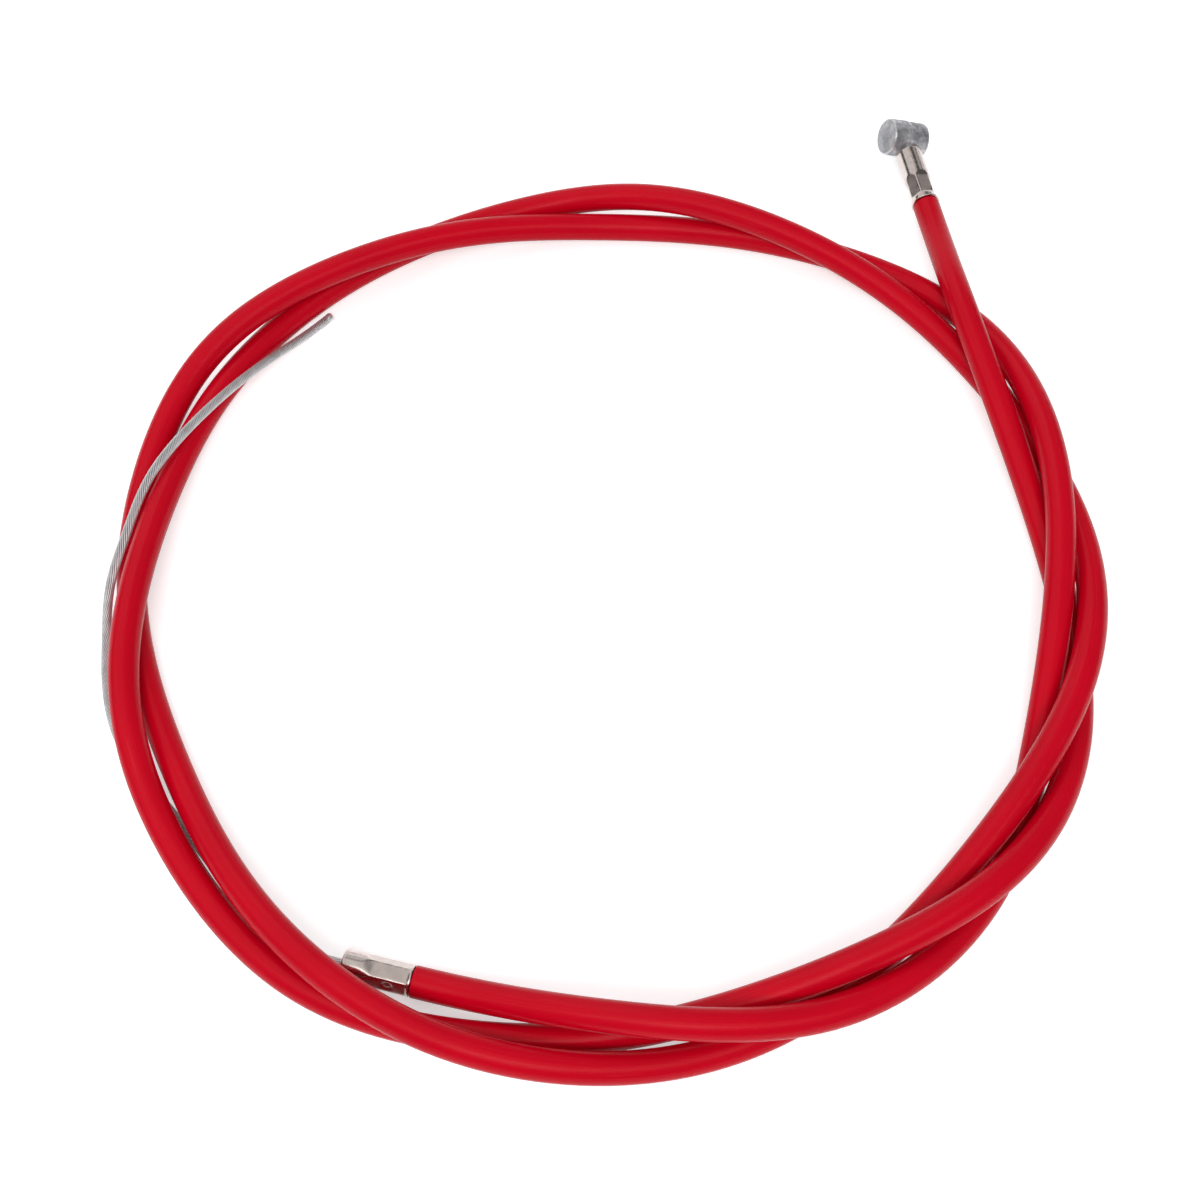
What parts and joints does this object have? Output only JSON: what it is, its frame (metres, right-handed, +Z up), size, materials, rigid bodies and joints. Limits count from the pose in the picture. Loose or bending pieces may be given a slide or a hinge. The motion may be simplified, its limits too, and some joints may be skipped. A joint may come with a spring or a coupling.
{
  "type": "bicycle brake cable",
  "caption": "Bicycle brake cable in loose turns: red housing, crimped ferrules, barrel nipple and a bare stranded inner wire.",
  "frame": {"origin": "on the surface the cable lies on, under the middle of its bounding box", "axes": "+Z up, across the turns; +Y towards the nipple end; +X to the right as the picture shows it"},
  "size_m": [0.1694, 0.1864, 0.0129],
  "materials": {
    "red_jacket": "smooth satin gloss, extruded",
    "casing_steel": "drawn flat spring wire",
    "liner_plastic": "natural extruded plastic",
    "wire_steel": "galvanised strands",
    "ferrule_nickel": "nickel plated, pressed",
    "nipple_zinc": "rough die-cast zinc"
  },
  "bodies": {
    "cable": {"housing_jacket": "red_jacket", "spiral_casing": "casing_steel", "inner_liner": "liner_plastic", "inner_wire": "wire_steel", "ferrule_lever_end": "ferrule_nickel", "ferrule_brake_end": "ferrule_nickel"},
    "pull_end": {"barrel_nipple": "nipple_zinc", "wire_lever_lead": "wire_steel"}
  },
  "joints": [
    {"name": "nipple_pull", "type": "slide", "parent": "cable", "child": "pull_end", "axis": [-0.1745, 0.9847, 0], "range_m": [0, 0.01]}
  ]
}
